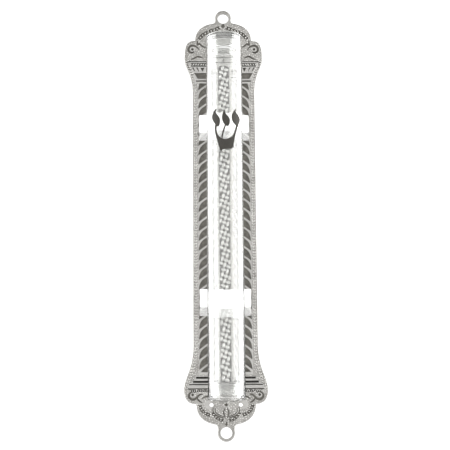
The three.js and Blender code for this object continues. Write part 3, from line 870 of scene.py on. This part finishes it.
milky = clear_plastic("soft_clear_plastic", 0.12, (0.9, 0.9, 0.89), 0.08, shine=0.15)
stopper_low, stopper_high = (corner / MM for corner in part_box("bottom_stopper"))
BAND = 1.125                         # height of a band, and of the groove below it
GROOVE_RADIUS = PLUG_RADIUS - 0.35
CUP_RADIUS = PLUG_RADIUS - 1.0
CUP_TOP = stopper_high.z - 1.2
grip_profile = [(0, CUP_TOP, 0), (CUP_RADIUS - 0.3, CUP_TOP, 0.3), (CUP_RADIUS, stopper_low.z, 0.2),
                (stopper_high.x, stopper_low.z, 0.25),
                (stopper_high.x, tube_low.z, 0.15)]
for k in range(2):
    level = tube_low.z + 2 * k * BAND
    grip_profile += [(GROOVE_RADIUS, level, 0.05), (GROOVE_RADIUS, level + BAND, 0.15),
                     (PLUG_RADIUS, level + BAND, 0.2), (PLUG_RADIUS, level + 2 * BAND, 0.2)]
grip_profile += [(GROOVE_RADIUS, tube_low.z + 4 * BAND, 0.1),
                 (GROOVE_RADIUS, stopper_high.z, 0.3), (0, stopper_high.z, 0)]
turned("stopper_moulding", grip_profile, milky, "stopper", "bottom_stopper")

# ------------------------------------------------------------------------------------------------
# The emblem. A letter Shin with three flames, cut from charcoal foil-faced film and stuck to the
# front of the tube, so that it wraps round with it.

charcoal, nodes, links, shader = material_tree("charcoal_film")
place = nodes.new("ShaderNodeTexCoord")
flecks = nodes.new("ShaderNodeTexNoise")
flecks.inputs["Scale"].default_value = 3000
flecks.inputs["Detail"].default_value = 4
links.new(place.outputs["Object"], flecks.inputs["Vector"])
tone = nodes.new("ShaderNodeValToRGB")
tone.color_ramp.elements[0].color = (0.028, 0.026, 0.023, 1)
tone.color_ramp.elements[1].color = (0.045, 0.042, 0.037, 1)
links.new(flecks.outputs["Fac"], tone.inputs["Fac"])
links.new(tone.outputs["Color"], shader.inputs["Base Color"])
grain = nodes.new("ShaderNodeBump")
grain.inputs["Strength"].default_value = 0.2
grain.inputs["Distance"].default_value = 0.00005
links.new(flecks.outputs["Fac"], grain.inputs["Height"])
links.new(grain.outputs["Normal"], shader.inputs["Normal"])
shader.inputs["Roughness"].default_value = 0.55
shader.inputs["Specular IOR Level"].default_value = 0.15

EMBLEM_WIDTH = 14.2
EMBLEM_HEIGHT = 19.85
EMBLEM_TURN = math.radians(5.1)
FILM_RADIUS = TUBE_RADIUS + 0.55     # round its outer face
emblem_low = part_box("shin_emblem")[0] / MM


def shin_outline():
    """The letter in a box one unit wide and high, from the base's left corner, clockwise."""
    pen = [(0.285, 0)]

    def curve(*corners):
        start = pen.pop()
        if len(corners) == 2:
            middle, end = corners
            corners = [tuple(start[k] + (middle[k] - start[k]) * 2 / 3 for k in (0, 1)),
                       tuple(end[k] + (middle[k] - end[k]) * 2 / 3 for k in (0, 1)), end]
        pen.extend(bezier(start, *corners, 8) + [corners[2]])

    curve((0.22, 0.18), (0.1, 0.4), (0.101, 0.52))
    curve((0.103, 0.585), (0.122, 0.626))
    curve((0.05, 0.68), (0, 0.75), (0, 0.817))
    curve((0, 0.905), (0.11, 0.93), (0.147, 0.993))
    curve((0.165, 0.955), (0.13, 0.935), (0.15, 0.9))
    curve((0.18, 0.84), (0.287, 0.8), (0.287, 0.704))
    curve((0.287, 0.62), (0.235, 0.535), (0.177, 0.58))
    curve((0.145, 0.5), (0.165, 0.38), (0.322, 0.288))
    curve((0.34, 0.4), (0.38, 0.5), (0.44, 0.6))
    curve((0.38, 0.655), (0.348, 0.71), (0.348, 0.775))
    curve((0.35, 0.86), (0.4, 0.9), (0.42, 0.976))
    curve((0.445, 0.95), (0.435, 0.92), (0.452, 0.885))
    curve((0.48, 0.835), (0.606, 0.8), (0.606, 0.704))
    curve((0.606, 0.63), (0.57, 0.53), (0.48, 0.586))
    curve((0.43, 0.48), (0.37, 0.36), (0.369, 0.272))
    curve((0.48, 0.25), (0.62, 0.29), (0.69, 0.36))
    curve((0.75, 0.43), (0.8, 0.52), (0.828, 0.607))
    curve((0.75, 0.65), (0.668, 0.7), (0.668, 0.79))
    curve((0.668, 0.9), (0.75, 0.91), (0.811, 1))
    curve((0.815, 0.96), (0.795, 0.94), (0.83, 0.91))
    curve((0.88, 0.87), (1, 0.85), (1, 0.755))
    curve((0.99, 0.69), (0.9, 0.61), (0.842, 0.485))
    curve((0.79, 0.37), (0.745, 0.25), (0.725, 0.13))
    curve((0.71, 0.05), (0.64, 0.045))
    curve((0.5, 0.045), (0.38, 0.04), (0.285, 0))
    return pen[:-1]


letter = [((x - 0.5) * EMBLEM_WIDTH, emblem_low.z + z * EMBLEM_HEIGHT) for x, z in shin_outline()]
SLICE = 0.45                         # the letter is cut into upright slices so that it can bend
slices = [("slice", [(x, 20), (x + SLICE, 20), (x + SLICE, 50), (x, 50)])
          for x in (k * SLICE - 8.1 for k in range(36))]
emblem = relief("shin_film", cells([("letter", letter)] + slices), lambda names: "letter" in names,
                0.15, 0.55, 0.08, [charcoal, charcoal])
for vertex in emblem.data.vertices:
    angle = vertex.co.x / MM / FILM_RADIUS + EMBLEM_TURN
    radius = TUBE_RADIUS - vertex.co.y / MM
    vertex.co.x = radius * math.sin(angle) * MM
    vertex.co.y = (TUBE_AXIS - radius * math.cos(angle)) * MM
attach(emblem, "case")
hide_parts("shin_emblem")

# ------------------------------------------------------------------------------------------------
# The floor, the light and the camera. A pale floor lies well below the hanging case, in an even white
# studio, with a tall softbox on each side. The camera is below the middle and looks up at it.

bpy.ops.mesh.primitive_plane_add(size=6, location=(0, 0, -0.3))
floor = bpy.context.object
floor.name = "studio_floor"
pale, nodes, links, shader = material_tree("pale_floor")
shader.inputs["Base Color"].default_value = (0.86, 0.86, 0.86, 1)
shader.inputs["Roughness"].default_value = 0.9
floor.data.materials.append(pale)

world = bpy.data.worlds.new("studio")
bpy.context.scene.world = world
world.use_nodes = True
world.node_tree.nodes["Background"].inputs["Color"].default_value = (1, 1, 1, 1)
world.node_tree.nodes["Background"].inputs["Strength"].default_value = 1.3

# a tall white wall of light on each side
for side in (-1, 1):
    light = bpy.data.lights.new("softbox", "AREA")
    light.shape = "RECTANGLE"
    light.size, light.size_y = 1.05, 1.4
    light.energy = 18
    box = bpy.data.objects.new("softbox", light)
    box.location = (side * 0.7, 0.1, 0.2)
    box.rotation_euler = (math.pi / 2, 0, side * math.pi / 2)
    box.visible_camera = False
    bpy.context.scene.collection.objects.link(box)

camera = bpy.data.objects.new("camera", bpy.data.cameras.new("camera"))
camera.data.lens = 112
camera.data.sensor_width = 36
camera.data.clip_start = 0.01
camera.location = (-0.0162, -0.6132, -0.1543)
pitch, yaw, roll = (math.radians(angle) for angle in (13.87, 1.53, -0.49))
aim = Vector((math.sin(yaw) * math.cos(pitch), math.cos(yaw) * math.cos(pitch), math.sin(pitch)))
camera.rotation_mode = "QUATERNION"
camera.rotation_quaternion = aim.to_track_quat("-Z", "Y") @ Quaternion((0, 0, 1), roll)
bpy.context.scene.collection.objects.link(camera)
bpy.context.scene.camera = camera
bpy.context.scene.view_settings.view_transform = "Standard"
